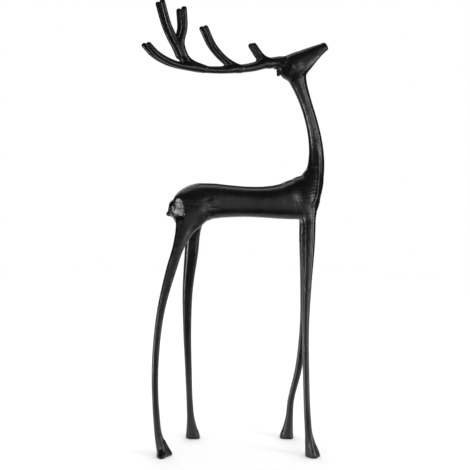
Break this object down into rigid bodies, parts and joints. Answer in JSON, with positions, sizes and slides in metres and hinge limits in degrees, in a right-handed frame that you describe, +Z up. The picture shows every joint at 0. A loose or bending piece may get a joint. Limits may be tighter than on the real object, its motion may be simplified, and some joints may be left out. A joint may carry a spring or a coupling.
{
  "type": "deer figurine",
  "caption": "Standing stag figurine with long slender legs, a raised head and branched antlers swept back over its body.",
  "frame": {"origin": "middle of the footprint of the whole figurine, on the floor that the soles stand on", "axes": "+X the way the stag faces, +Y its left side, +Z up"},
  "size_m": [0.186, 0.0854, 0.457],
  "materials": {
    "deer": "satin black"
  },
  "bodies": {
    "root": {"deer": "deer"}
  },
  "joints": []
}
